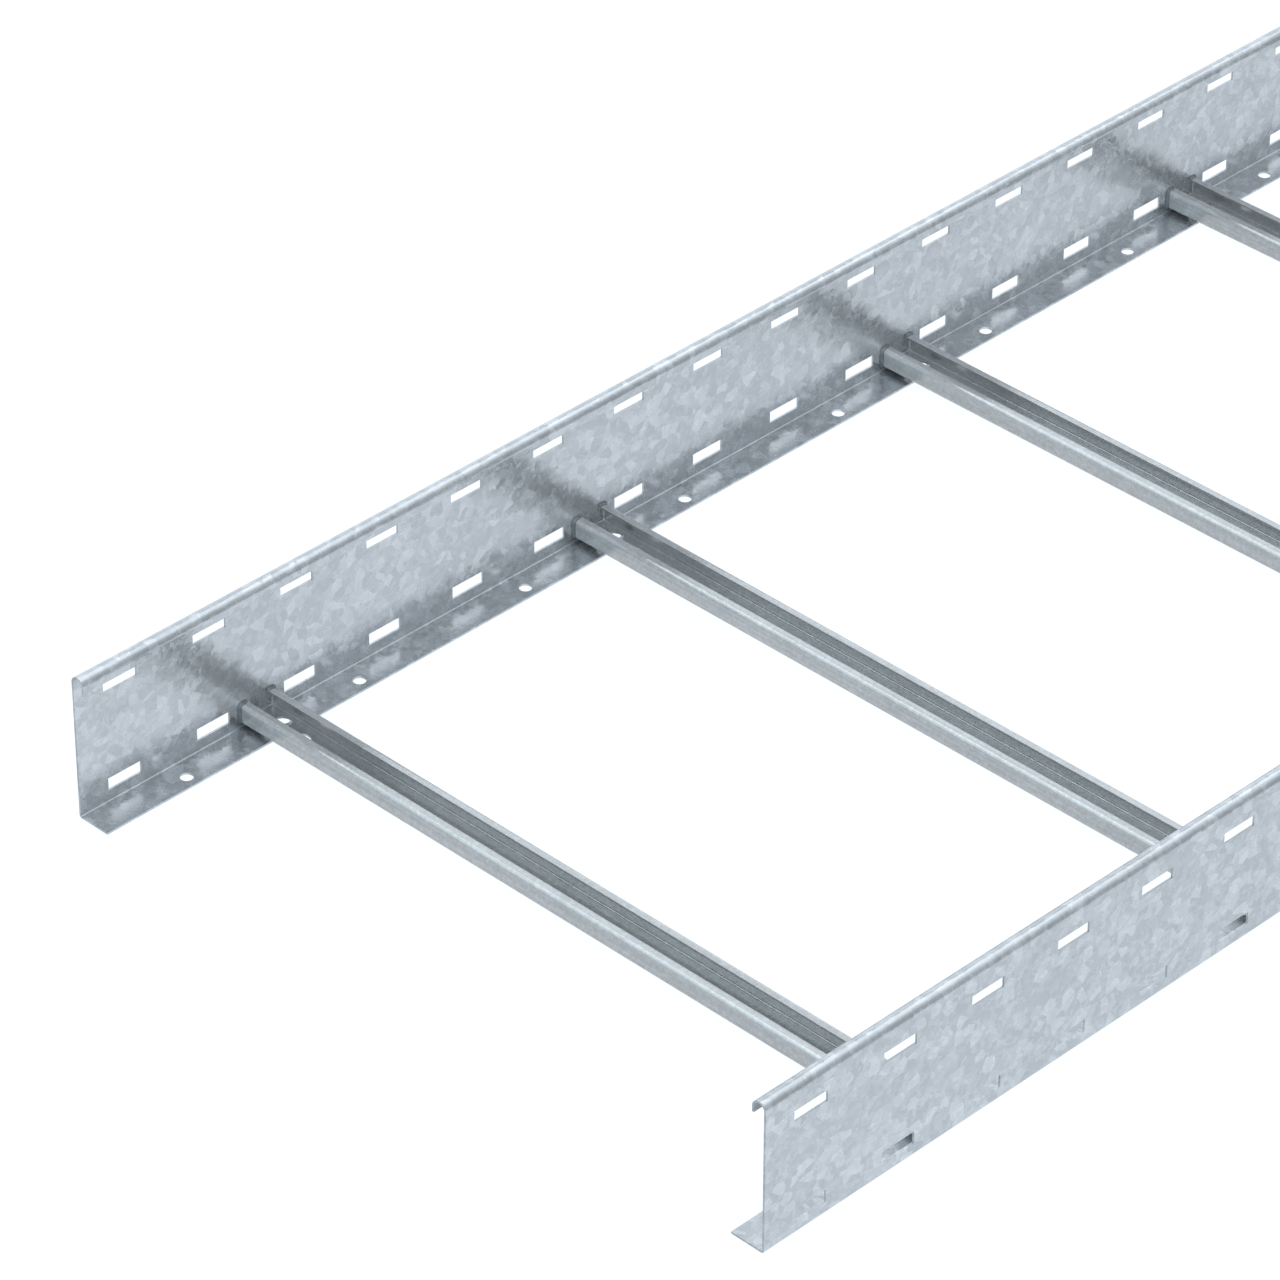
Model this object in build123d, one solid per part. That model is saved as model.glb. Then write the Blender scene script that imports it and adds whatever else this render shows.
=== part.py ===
from build123d import *
import math
import os

os.makedirs("parts", exist_ok=True)

# Overall size of the section, mm. X runs across it, Y along it, Z up from the floor.
length = 3000.0
width = 600.0
rail_height = 110.0
sheet = 1.5

# Side rail section: foot flange, web and rolled top hook bent from one strip.
flange_width = 26.5
foot_bend = 2.5
hook_width = 11.0
hook_depth = 10.0

# Perforations of the web, two rows of rectangular slots.
slot_pitch = 75.0
slot_length = 27.7
upper_slot_height = 8.0
upper_slot_z = 88.4
lower_slot_height = 9.0
lower_slot_z = 14.0

# Holes in the foot flange: one row between the rungs, one hole under each rung.
foot_hole_d = 9.0
foot_hole_pitch = 150.0
foot_hole_inset = 17.2
under_rung_inset = 14.5
under_rung_offset = 10.8

# Rungs: C channels that stand open side up between the webs.
rung_pitch = 300.0
rung_width = 30.0
rung_height = 15.0
rung_slot = 17.0
rung_bend = 2.8
rung_z = 4.5

# Openings in the base of a rung near each end, measured from the web's outer face:
# an access slot across the rung over the flange hole, then a round hole.
access_slot_width = 12.5
access_slot_length = 20.4
access_slot_inset = 21.0
base_hole_d = 12.0
base_hole_inset = 43.5

# The screw holes of the brackets, this many from each end of a foot flange, are true
# circles. The other holes repeat so often that each is cut with few sides.
screw_holes = 3
hole_sides = 12

slot_count = round(length / slot_pitch)
foot_hole_count = round(length / foot_hole_pitch)
rung_count = round(length / rung_pitch)
cutter_depth = 4 * sheet


def spaced(count, pitch):
    """Places along a line, centred on zero."""
    return [(i - (count - 1) / 2) * pitch for i in range(count)]


def few_sided(across, overall):
    """Cutter for a hole of few sides, as wide as across and overall long along Y."""
    corner_radius = across / 2 / math.cos(math.pi / hole_sides)
    straight = (overall - across) / 2
    corners = []
    for i in range(hole_sides):
        angle = (i + 0.5) * 2 * math.pi / hole_sides
        x = corner_radius * math.cos(angle)
        y = corner_radius * math.sin(angle)
        corners.append((x, y + math.copysign(straight, y)))
    outline = make_face(Polyline(*corners, close=True))
    return extrude(outline, amount=cutter_depth / 2, both=True)


def rail_section():
    """Closed outline of the left rail's strip; the web's outer face is on x = 0."""
    crown = hook_width / 2
    top = rail_height - crown
    lip_end = rail_height - hook_depth
    lip = hook_width - sheet
    edges = [
        Line((flange_width, 0), (foot_bend, 0)),
        RadiusArc((foot_bend, 0), (0, foot_bend), foot_bend),
        Line((0, foot_bend), (0, top)),
        ThreePointArc((0, top), (crown, rail_height), (hook_width, top)),
        Line((hook_width, top), (hook_width, lip_end)),
        Line((hook_width, lip_end), (lip, lip_end)),
        Line((lip, lip_end), (lip, top)),
        ThreePointArc((lip, top), (crown, rail_height - sheet), (sheet, top)),
        Line((sheet, top), (sheet, foot_bend)),
        RadiusArc((sheet, foot_bend), (foot_bend, sheet), sheet - foot_bend),
        Line((foot_bend, sheet), (flange_width, sheet)),
        Line((flange_width, sheet), (flange_width, 0)),
    ]
    return make_face(edges)


def slot_row(height, z):
    """Cutters for one row of web slots along the whole rail."""
    cutter = Box(cutter_depth, slot_length, height)
    return [Pos(0, y, z) * cutter for y in spaced(slot_count, slot_pitch)]


def side_rail():
    """Left side rail with its web slots and foot holes, outer face on x = 0."""
    rail = extrude(Plane.XZ * rail_section(), amount=length / 2, both=True)
    cutters = slot_row(upper_slot_height, upper_slot_z)
    cutters += slot_row(lower_slot_height, lower_slot_z)
    screw_hole = Cylinder(foot_hole_d / 2, cutter_depth)
    plain_hole = few_sided(foot_hole_d, foot_hole_d)
    for i, y in enumerate(spaced(foot_hole_count, foot_hole_pitch)):
        from_end = min(i, foot_hole_count - 1 - i)
        cutter = screw_hole if from_end < screw_holes else plain_hole
        cutters.append(Pos(foot_hole_inset, y, 0) * cutter)
    for y in spaced(rung_count, rung_pitch):
        cutters.append(Pos(under_rung_inset, y + under_rung_offset, 0) * plain_hole)
    return rail - cutters


def rung_section():
    """Closed outline of the C channel in the YZ plane, base on z = 0."""
    outer = Rectangle(rung_width, rung_height)
    outer = fillet(outer.vertices(), rung_bend)
    inner = Rectangle(rung_width - 2 * sheet, rung_height - 2 * sheet)
    inner = fillet(inner.vertices(), rung_bend - sheet)
    mouth = Pos(0, rung_height / 2) * Rectangle(rung_slot, cutter_depth)
    return Pos(0, rung_height / 2) * (outer - inner - mouth)


def rung():
    """One rung, which ends on the webs' inner faces, with the openings in its base."""
    reach = width - 2 * sheet
    bar = extrude(Plane.YZ * rung_section(), amount=reach / 2, both=True)
    base_hole = few_sided(base_hole_d, base_hole_d)
    access_slot = few_sided(access_slot_width, access_slot_length)
    for side in (-1, 1):
        bar -= Pos(side * (width / 2 - base_hole_inset), 0, 0) * base_hole
        bar -= Pos(side * (width / 2 - access_slot_inset), 0, 0) * access_slot
    return bar


def write(shape, name):
    """One solid to one file."""
    solid = shape.solids()[0]
    solid.label = name
    export_step(solid, f"parts/{name}.step")


left = Pos(-width / 2, 0, 0) * side_rail()
write(left, "left_side_rail")
write(mirror(left, about=Plane.YZ), "right_side_rail")

blank = rung()
for number, y in enumerate(spaced(rung_count, rung_pitch), start=1):
    write(Pos(0, y, rung_z) * blank, f"rung_{number:02d}")
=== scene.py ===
import math

import bmesh
import bpy
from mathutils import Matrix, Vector, noise


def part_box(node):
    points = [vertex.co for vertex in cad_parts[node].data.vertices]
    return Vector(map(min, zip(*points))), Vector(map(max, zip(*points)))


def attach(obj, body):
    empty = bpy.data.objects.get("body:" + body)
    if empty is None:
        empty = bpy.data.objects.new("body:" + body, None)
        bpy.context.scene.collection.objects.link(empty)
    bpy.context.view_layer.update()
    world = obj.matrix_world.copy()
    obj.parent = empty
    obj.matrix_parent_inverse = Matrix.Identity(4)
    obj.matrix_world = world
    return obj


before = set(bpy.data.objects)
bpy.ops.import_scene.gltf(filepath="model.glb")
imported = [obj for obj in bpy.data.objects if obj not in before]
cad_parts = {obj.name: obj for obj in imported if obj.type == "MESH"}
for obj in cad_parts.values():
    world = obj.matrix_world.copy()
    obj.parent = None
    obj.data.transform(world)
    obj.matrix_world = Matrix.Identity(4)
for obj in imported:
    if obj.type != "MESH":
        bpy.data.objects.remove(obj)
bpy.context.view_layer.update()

# Side rails. Two strips of galvanised steel, folded to a foot flange, a web with two rows of
# punched slots and a rolled top hook. The zinc froze in large soft crystals before the strips
# were punched and folded.
rail_light = (0.690, 0.709, 0.727)
rail_dark = (0.409, 0.425, 0.439)


class Shade:
    """An output in a tree of nodes. Maths on it adds Math nodes."""

    def __init__(self, tree, socket=None):
        self.tree = tree
        self.socket = socket

    def node(self, kind, settings=None, values=None, output=0):
        """A new node: its settings first, then its sockets' values or links."""
        made = self.tree.nodes.new(kind)
        for name, value in (settings or {}).items():
            if name == "stops":
                stops = made.color_ramp.elements
                while len(stops) < len(value):
                    stops.new(1.0)
                for stop, (place, level) in zip(stops, value):
                    stop.position = place
                    stop.color = (level, level, level, 1.0)
            else:
                setattr(made, name, value)
        for name, value in (values or {}).items():
            if isinstance(value, Shade):
                self.tree.links.new(value.socket, made.inputs[name])
            else:
                made.inputs[name].default_value = value
        return Shade(self.tree, made.outputs[output])

    def maths(self, operation, first, second):
        return self.node("ShaderNodeMath", {"operation": operation}, {0: first, 1: second})

    def vector(self, operation, other=None):
        """Vector maths on it: alone, with another vector, or with the number SCALE takes."""
        values = {0: self}
        if other is not None:
            values["Scale" if operation == "SCALE" else 1] = other
        return self.node("ShaderNodeVectorMath", {"operation": operation}, values)

    def __add__(self, other):
        return self.maths("ADD", self, other)

    def __sub__(self, other):
        return self.maths("SUBTRACT", self, other)

    def __rsub__(self, other):
        return self.maths("SUBTRACT", other, self)

    def __mul__(self, other):
        return self.maths("MULTIPLY", self, other)

    __radd__ = __add__
    __rmul__ = __mul__


def zinc(name, light, dark, metal, roughness, crystal, small_crystal, tilt, lines, drawing,
         relief, stretch=(1.0, 1.0, 1.0)):
    """Galvanised steel, whose zinc crystals differ a little in tone, gloss and tilt.

    crystal and small_crystal are widths in metres, and stretch tells their number along each
    axis. tilt is how far a crystal leans. lines is the number of drawing lines in a metre along
    each axis, drawing their share of the tone, and relief the strength of all that stands out.
    """
    cloud_share = 0.18
    speck_share = 0.06
    spangle_share = 0.76 - drawing
    large_share = 0.6
    small_share = 0.4
    usual_tone = 0.8
    gloss_spread = relief * 0.4
    bump_depth = 0.0003
    middle = (0.5, 0.5, 0.5)

    material = bpy.data.materials.new(name)
    material.use_nodes = True
    tree = material.node_tree
    start = Shade(tree)
    place = start.node("ShaderNodeTexCoord", output="Object")

    # A slow noise bends the crystals' edges, so that they look like fronds, and sways the sheet.
    bends = 0.6 / crystal
    edge_wander = (crystal * 0.8,) * 3
    sway = tilt * 0.4
    wander = start.node(
        "ShaderNodeTexNoise", values={"Vector": place, "Scale": bends, "Detail": 2.5},
        output="Color")
    fronds = start.node(
        "ShaderNodeVectorMath", {"operation": "MULTIPLY_ADD"},
        {0: wander, 1: edge_wander, 2: place.vector("MULTIPLY", stretch)})
    lean = wander.vector("SUBTRACT", middle).vector("SCALE", sway)

    # Few crystals are light and most are dark, so a crystal's tone is squared. The large ones
    # lean by the full tilt and the small ones by half of it.
    tones = []
    for size, share in ((crystal, 1.0), (small_crystal, 0.5)):
        cell = start.node(
            "ShaderNodeTexVoronoi", {"feature": "F1"}, {"Vector": fronds, "Scale": 1.0 / size},
            output="Color")
        flake = start.node("ShaderNodeSeparateColor", values={"Color": cell})
        tones.append(flake * flake)
        turned = cell.vector("SUBTRACT", middle).vector("SCALE", tilt * share)
        lean = lean.vector("ADD", turned)
    large, small = tones

    # Clouds some 45 mm wide, specks of 1.4 mm and the lines that drawing left in the strip.
    cloud = start.node(
        "ShaderNodeTexNoise", values={"Vector": place, "Scale": 22.0, "Detail": 3.0})
    speck = start.node(
        "ShaderNodeTexNoise", values={"Vector": place, "Scale": 700.0, "Detail": 2.0})
    drawn = start.node(
        "ShaderNodeTexNoise",
        values={"Vector": place.vector("MULTIPLY", lines), "Scale": 1.0, "Detail": 2.0})

    spangle = (large * large_share + small * small_share) * spangle_share
    tone = spangle + cloud * cloud_share + speck * speck_share + drawn * drawing
    colour = start.node(
        "ShaderNodeMix", {"data_type": "RGBA"},
        {"Factor": tone, "A": dark + (1.0,), "B": light + (1.0,)}, output="Result")
    gloss = roughness + (small + cloud - usual_tone) * gloss_spread
    facet = start.node("ShaderNodeNewGeometry", output="Normal").vector("ADD", lean)
    facet = facet.vector("NORMALIZE")
    height = cloud * 0.5 + speck * 0.2 + drawn * 0.3
    bump = start.node(
        "ShaderNodeBump",
        values={"Height": height, "Strength": relief, "Distance": bump_depth, "Normal": facet})

    surface = tree.nodes["Principled BSDF"]
    surface.inputs["Metallic"].default_value = metal
    tree.links.new(colour.socket, surface.inputs["Base Color"])
    tree.links.new(gloss.socket, surface.inputs["Roughness"])
    tree.links.new(bump.socket, surface.inputs["Normal"])
    return material


rail_zinc = zinc(
    "rail_zinc", rail_light, rail_dark, metal=0.80, roughness=0.24, crystal=0.0076,
    small_crystal=0.0034, tilt=0.060, lines=(90.0, 12.0, 90.0), drawing=0.08, relief=0.25,
    stretch=(1.0, 0.95, 1.0))
for side in ("left", "right"):
    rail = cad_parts[f"{side}_side_rail"]
    rail.data.materials.clear()
    rail.data.materials.append(rail_zinc)

# Rungs. C channels rolled from galvanised strip with small, flat crystals, on which the rolls
# left fine lines along the rung. Each stands open side up and is welded between the two webs.
rung_light = (0.809, 0.819, 0.818)
rung_dark = (0.309, 0.314, 0.313)
rung_zinc = zinc(
    "rung_zinc", rung_light, rung_dark, metal=0.69, roughness=0.22, crystal=0.0022,
    small_crystal=0.0011, tilt=0.006, lines=(2.0, 450.0, 450.0), drawing=0.48, relief=0.04)
rungs = sorted(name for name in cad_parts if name.startswith("rung_"))
for name in rungs:
    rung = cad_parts[name]
    rung.data.materials.clear()
    rung.data.materials.append(rung_zinc)

# Welds. At each end of a rung a bead ties it to the web, all round the outside of the channel,
# and a thinner one runs along its inside. The outer bead is given a dull, dark colour, and the
# inner one is as pale as the rung.
weld_light = (0.270, 0.292, 0.310)
weld_dark = (0.110, 0.120, 0.128)

# The rung's section: its sheet, the outside of its bends and the mouth between its lips.
sheet = 0.0015
rung_bend = 0.0028
mouth = 0.017

# The beads: their legs, how deep their roots lie in the corner, how hollow they are, and how
# finely they are divided along their run and round their face.
outer_leg = 0.0020
inner_leg = 0.0012
root_overlap = 0.0002
hollowing = 0.42
bead_step = 0.0006
arc_steps = 6

# A bead starts thin, ripples as it is laid and swells where the hand slowed.
thin_start = 0.0015
thin_share = 0.4
ripple_length = 0.0017
ripple_share = 0.07
swell_length = 0.004
swell_share = 0.16
seed_step = 2.7


def channel_line(low, high, inset):
    """Line round the C of a rung, inset from its outside: (y, z) points and outward normals."""
    radius = rung_bend - inset
    y_far = (high.y - low.y) / 2 - inset
    middle = (high.y + low.y) / 2
    bottom, top = low.z + inset, high.z - inset
    corners = ((-1, top, 90), (-1, bottom, 180), (1, bottom, 270), (1, top, 0))
    line = [(-mouth / 2, top, 90)]
    for side, z, start in corners:
        centre_y = side * (y_far - radius)
        centre_z = z - radius if z == top else z + radius
        for turn in range(arc_steps + 1):
            angle = start + 90 * turn / arc_steps
            line.append((centre_y + radius * math.cos(math.radians(angle)),
                         centre_z + radius * math.sin(math.radians(angle)), angle))
    line.append((mouth / 2, top, 90))
    return [(middle + y, z, math.radians(angle)) for y, z, angle in line]


def bead(mesh, line, web, inward, leg, side, seed):
    """Fillet along a line where a rung meets the web, on its outside (1) or inside (-1)."""
    # The line in steps short enough for the ripples.
    fine = []
    for (y0, z0, a0), (y1, z1, a1) in zip(line, line[1:]):
        turn = (a1 - a0 + math.pi) % (2 * math.pi) - math.pi
        count = max(1, round(math.hypot(y1 - y0, z1 - z0) / bead_step))
        fine += [(y0 + (y1 - y0) * i / count, z0 + (z1 - z0) * i / count, a0 + turn * i / count)
                 for i in range(count)]
    fine.append(line[-1])

    # At each step a hollow quarter from the rung's face round to the web.
    rings = []
    run = 0.0
    for i, (y, z, angle) in enumerate(fine):
        if i:
            run += math.hypot(y - fine[i - 1][0], z - fine[i - 1][1])
        swell = noise.noise(Vector((run / swell_length, seed, side)))
        ripple = math.sin(2 * math.pi * run / ripple_length + swell * 3)
        size = leg * (1 + swell_share * swell + ripple_share * ripple)
        size *= thin_share + (1 - thin_share) * min(run, thin_start) / thin_start
        across = Vector((0, math.cos(angle), math.sin(angle))) * side
        root = Vector((web, y, z))
        ring = [root - across * root_overlap]
        for step in range(arc_steps + 1):
            sweep = math.radians(90 * step / arc_steps)
            outward = across * math.cos(sweep) + inward * math.sin(sweep)
            ring.append(root + outward * size * (1 - hollowing * math.sin(2 * sweep)))
        rings.append([mesh.verts.new(point) for point in ring])

    for first, second in zip(rings, rings[1:]):
        for k in range(len(first)):
            following = (k + 1) % len(first)
            mesh.faces.new((first[k], first[following], second[following], second[k]))
    mesh.faces.new(rings[0])
    mesh.faces.new(rings[-1])


weld_zinc = zinc(
    "weld_zinc", weld_light, weld_dark, metal=0.85, roughness=0.42, crystal=0.0030,
    small_crystal=0.0011, tilt=0.08, lines=(300.0, 300.0, 300.0), drawing=0.2, relief=0.4)
for number, name in enumerate(rungs):
    low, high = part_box(name)
    low, high = Vector(low), Vector(high)
    for side, web, away in (("left", low.x, 1), ("right", high.x, -1)):
        weld = bmesh.new()
        inward = Vector((away, 0, 0))
        seed = number * seed_step + away
        bead(weld, channel_line(low, high, 0.0), web, inward, outer_leg, 1, seed)
        outer_faces = len(weld.faces)
        bead(weld, channel_line(low, high, sheet), web, inward, inner_leg, -1, seed)
        for index, face in enumerate(weld.faces):
            face.smooth = True
            face.material_index = int(index >= outer_faces)
        bmesh.ops.recalc_face_normals(weld, faces=weld.faces)
        mesh = bpy.data.meshes.new(f"{name}_weld_{side}")
        weld.to_mesh(mesh)
        weld.free()
        mesh.materials.append(weld_zinc)
        mesh.materials.append(rung_zinc)
        piece = bpy.data.objects.new(mesh.name, mesh)
        bpy.context.scene.collection.objects.link(piece)
        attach(piece, "root")

# Camera. It stands off the near right-hand corner with a long lens and looks down along the
# section, where the photograph was taken from.
camera_up = math.radians(55.0533)
camera_turn = math.radians(44.9764)
camera = bpy.data.objects.new("camera", bpy.data.cameras.new("camera"))
bpy.context.scene.collection.objects.link(camera)
camera.data.lens = 184.309
camera.data.sensor_width = 36.0
camera.data.clip_end = 100.0
camera.location = (2.29604, -3.59884, 2.45589)
camera.rotation_euler = (camera_up, 0.0, camera_turn)
bpy.context.scene.camera = camera

# Floor. A plain white studio table, lit from inside, so that the openings of the section show
# white. It lies just below the feet, and the metal doesn't mirror it.
half = 30.0
floor_gap = 0.0005
floor_mesh = bpy.data.meshes.new("floor")
floor_mesh.from_pydata(
    [(-half, -half, 0), (half, -half, 0), (half, half, 0), (-half, half, 0)], [], [(0, 1, 2, 3)])
floor = bpy.data.objects.new("floor", floor_mesh)
floor.location.z = -floor_gap
bpy.context.scene.collection.objects.link(floor)
table = bpy.data.materials.new("table")
table.use_nodes = True
top = table.node_tree.nodes["Principled BSDF"]
top.inputs["Base Color"].default_value = (0.05, 0.05, 0.05, 1.0)
top.inputs["Roughness"].default_value = 0.9
top.inputs["Specular IOR Level"].default_value = 0.0
top.inputs["Emission Color"].default_value = (0.96, 1.03, 1.09, 1.0)
top.inputs["Emission Strength"].default_value = 1.0
floor_mesh.materials.append(table)
floor.visible_glossy = False

# Studio light. A pale, slightly cold room with a grey band high on its walls and a bright rim
# of lamps round the ceiling, as the metal mirrors them. Some of its sides are darker or paler,
# and a soft box hangs high up beyond the far end.
room_tint = (0.93, 1.0, 1.07)
room_strength = 1.6

# How bright the room is, from straight below, at 0, over the horizon to straight above, at 1.
room_levels = [
    (0.0, 0.66), (0.20, 0.66), (0.25, 0.64), (0.5, 0.685), (0.70, 0.77), (0.775, 0.81),
    (0.7875, 0.635), (0.80, 0.58), (0.85, 0.59), (0.885, 0.94), (0.92, 1.08), (0.945, 0.87),
    (1.0, 0.76)]

# Each side: its middle, the cosines from that middle where it begins and is at its full, and
# the share of red, green and blue that it takes away there, or gives where that is negative.
far_right = ((0.775, 0.605, 0.185), 0.83, 0.97, (0.56, 0.56, 0.56))
low_near_left = ((-0.65, -0.65, -0.4), 0.45, 0.95, (0.375, 0.375, 0.375))
low_far_end = ((0.36, 0.735, -0.573), 0.955, 1.0, (0.12, 0.12, 0.12))
high_near_left = ((-0.58, -0.58, 0.57), 0.75, 1.0, (-0.05, -0.145, -0.17))
high_near_right = ((0.58, -0.58, 0.57), 0.75, 0.97, (-0.11, -0.18, -0.20))

world = bpy.data.worlds.new("room")
bpy.context.scene.world = world
world.use_nodes = True
room = Shade(world.node_tree)
ray = room.node("ShaderNodeTexCoord", output="Generated")
up = room.node("ShaderNodeSeparateXYZ", values={"Vector": ray}, output="Z")
level = room.node("ShaderNodeValToRGB", {"stops": room_levels}, {"Fac": up * 0.5 + 0.5})
light = level.vector("MULTIPLY", room_tint)
for middle, begins, full, taken in (far_right, low_near_left, low_far_end, high_near_left,
                                    high_near_right):
    nearness = room.node(
        "ShaderNodeVectorMath", {"operation": "DOT_PRODUCT"}, {0: ray, 1: middle},
        output="Value")
    share = room.node(
        "ShaderNodeMapRange", {"interpolation_type": "SMOOTHSTEP"},
        {"Value": nearness, "From Min": begins, "From Max": full})
    loss = share.vector("MULTIPLY", taken)
    light = light.vector("SUBTRACT", light.vector("MULTIPLY", loss))
sky = world.node_tree.nodes["Background"]
world.node_tree.links.new(light.socket, sky.inputs["Color"])
sky.inputs["Strength"].default_value = room_strength

box_light = bpy.data.lights.new("soft_box", "AREA")
box_light.shape = "RECTANGLE"
box_light.size = 3.0
box_light.size_y = 2.2
box_light.energy = 12.5
soft_box = bpy.data.objects.new("soft_box", box_light)
soft_box.location = (-0.6, 4.1, 5.7)
to_section = Vector((0, 0, 0)) - soft_box.location
soft_box.rotation_euler = to_section.to_track_quat("-Z", "Y").to_euler()
soft_box.visible_camera = False
bpy.context.scene.collection.objects.link(soft_box)

bpy.context.scene.view_settings.view_transform = "Standard"
